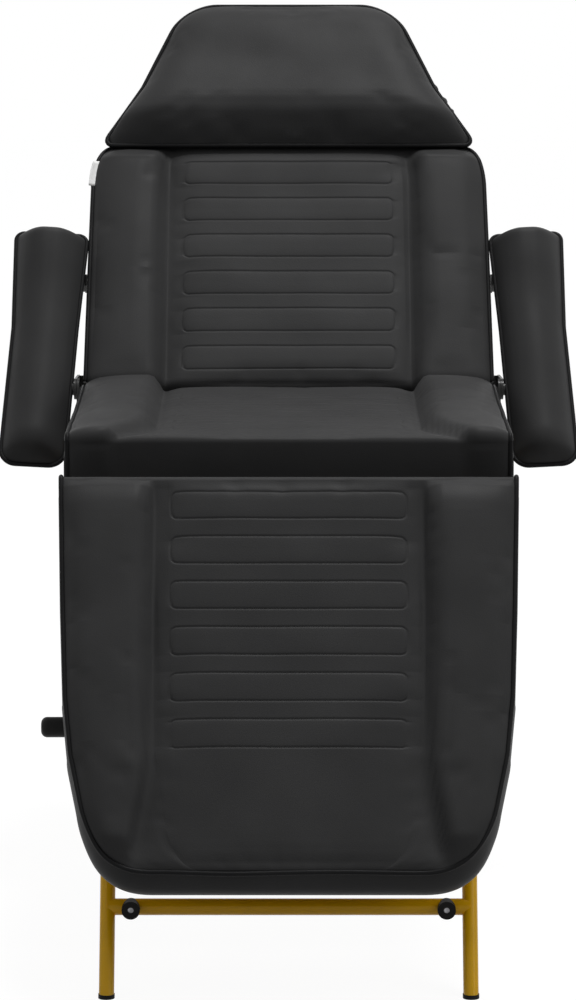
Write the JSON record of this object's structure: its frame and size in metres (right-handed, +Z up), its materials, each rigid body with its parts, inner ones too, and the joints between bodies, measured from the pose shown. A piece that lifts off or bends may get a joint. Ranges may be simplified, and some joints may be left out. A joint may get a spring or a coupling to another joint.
{
  "type": "beauty chair",
  "caption": "Reclining salon chair with tilting backrest and legrest, lift-up padded armrests, slip-on trapezoid pillow and a splayed gold tube frame.",
  "frame": {"origin": "on the floor, under the centre of the box round the chair in the pose of the picture", "axes": "+Z up, the foot end faces -Y and the head end +Y, +X to the right as seen from the foot end"},
  "size_m": [0.8292, 1.3806, 1.2376],
  "materials": {
    "upholstery": "satin black faux leather",
    "frame_paint": "gloss gold paint",
    "board": "plywood",
    "black_metal": "satin black paint",
    "bright_metal": "polished",
    "zinc_metal": "zinc plated",
    "black_rubber": "matte",
    "black_plastic": "moulded"
  },
  "bodies": {
    "base": {"front_leg_left": "frame_paint", "front_leg_right": "frame_paint", "front_crossbar": "frame_paint", "rear_leg_left": "frame_paint", "rear_leg_right": "frame_paint", "rear_crossbar": "frame_paint", "spring_crossbar": "frame_paint", "foot_caps": "black_rubber", "seat_rail_left": "frame_paint", "seat_rail_right": "frame_paint", "hinge_plates": "black_metal", "seat_cross_rails": "frame_paint", "rail_plugs": "black_plastic", "legrest_bumpers": "black_rubber", "bumper_screws": "bright_metal", "seat_board": "board", "seat_cushion": "upholstery", "back_hinge_bolts": "black_metal", "leg_hinge_lugs": "frame_paint", "leg_hinge_pins": "zinc_metal", "leg_spring_hanger": "frame_paint", "back_spring_bracket": "frame_paint", "spring_base_pins": "zinc_metal"},
    "backrest": {"backrest_cushion": "upholstery", "backrest_board": "board", "back_tube_left": "frame_paint", "back_tube_right": "frame_paint", "back_cross_tubes": "frame_paint", "back_hinge_arms": "black_metal", "back_rod_lugs": "frame_paint", "back_rod_pin": "zinc_metal", "armrest_brackets": "black_metal", "armrest_bolts": "black_metal", "armrest_stops": "black_metal", "back_tube_plugs": "black_plastic"},
    "legrest": {"legrest_cushion": "upholstery", "legrest_board": "board", "leg_tube_left": "frame_paint", "leg_tube_right": "frame_paint", "leg_cross_tubes": "frame_paint", "legrest_lugs": "frame_paint", "leg_rod_lugs": "frame_paint", "leg_rod_pin": "zinc_metal", "leg_tube_plugs": "black_plastic"},
    "headrest": {"headrest_pillow": "upholstery", "headrest_hood": "upholstery"},
    "armrest_left": {"armrest_pad_left": "upholstery", "armrest_board_left": "board", "armrest_arm_left": "black_metal"},
    "armrest_right": {"armrest_pad_right": "upholstery", "armrest_board_right": "board", "armrest_arm_right": "black_metal"},
    "back_spring_cylinder": {"back_spring_cylinder": "black_metal"},
    "back_spring_rod": {"back_spring_rod": "bright_metal"},
    "leg_spring_cylinder": {"leg_spring_cylinder": "black_metal"},
    "leg_spring_rod": {"leg_spring_rod": "bright_metal"},
    "leg_release": {"leg_release_lever": "black_metal", "leg_release_grip": "black_plastic"},
    "back_release": {"back_release_lever": "black_metal", "back_release_grip": "black_plastic"}
  },
  "joints": [
    {"name": "back_recline", "type": "hinge", "parent": "base", "child": "backrest", "pos_m": [0, 0.22527, 0.7], "axis": [1, 0, 0], "range_deg": [-51.4, 20]},
    {"name": "leg_tilt", "type": "hinge", "parent": "base", "child": "legrest", "pos_m": [0, -0.31573, 0.617], "axis": [-1, 0, 0], "range_deg": [-5.3, 57.6]},
    {"name": "headrest_slide", "type": "slide", "parent": "backrest", "child": "headrest", "axis": [0, 0.6239, 0.7815], "range_m": [0, 0.24]},
    {"name": "armrest_left_lift", "type": "hinge", "parent": "backrest", "child": "armrest_left", "pos_m": [-0.3076, 0.39704, 0.86869], "axis": [-1, 0, 0], "range_deg": [0, 100]},
    {"name": "armrest_right_lift", "type": "hinge", "parent": "backrest", "child": "armrest_right", "pos_m": [0.3076, 0.39704, 0.86869], "axis": [-1, 0, 0], "range_deg": [0, 100]},
    {"name": "back_spring_swing", "type": "hinge", "parent": "base", "child": "back_spring_cylinder", "pos_m": [0, 0.22527, 0.37021], "axis": [1, 0, 0], "range_deg": [-26.7, 11]},
    {"name": "back_rod_swing", "type": "hinge", "parent": "backrest", "child": "back_spring_rod", "pos_m": [0, 0.5123, 0.86241], "axis": [1, 0, 0], "range_deg": [-11, 26.7]},
    {"name": "leg_spring_swing", "type": "hinge", "parent": "base", "child": "leg_spring_cylinder", "pos_m": [0, -0.07173, 0.45664], "axis": [-1, 0, 0], "range_deg": [-3.65, 29.8]},
    {"name": "leg_rod_swing", "type": "hinge", "parent": "legrest", "child": "leg_spring_rod", "pos_m": [0, -0.44242, 0.35393], "axis": [-1, 0, 0], "range_deg": [-29.8, 3.65]},
    {"name": "leg_release_turn", "type": "hinge", "parent": "legrest", "child": "leg_release", "pos_m": [0, -0.46248, 0.36429], "axis": [1, 0, 0], "range_deg": [0, 12], "stiffness_Nm_per_rad": 4, "springref_deg": -5.73},
    {"name": "back_release_turn", "type": "hinge", "parent": "backrest", "child": "back_release", "pos_m": [0, 0.51397, 0.91098], "axis": [-1, 0, 0], "range_deg": [0, 12], "stiffness_Nm_per_rad": 4, "springref_deg": -5.73}
  ],
  "couplings": [
    {"joint": "back_spring_swing", "follows": "back_recline", "ratio": 0.5},
    {"joint": "back_rod_swing", "follows": "back_recline", "ratio": -0.5},
    {"joint": "leg_spring_swing", "follows": "leg_tilt", "ratio": 0.5},
    {"joint": "leg_rod_swing", "follows": "leg_tilt", "ratio": -0.5}
  ]
}
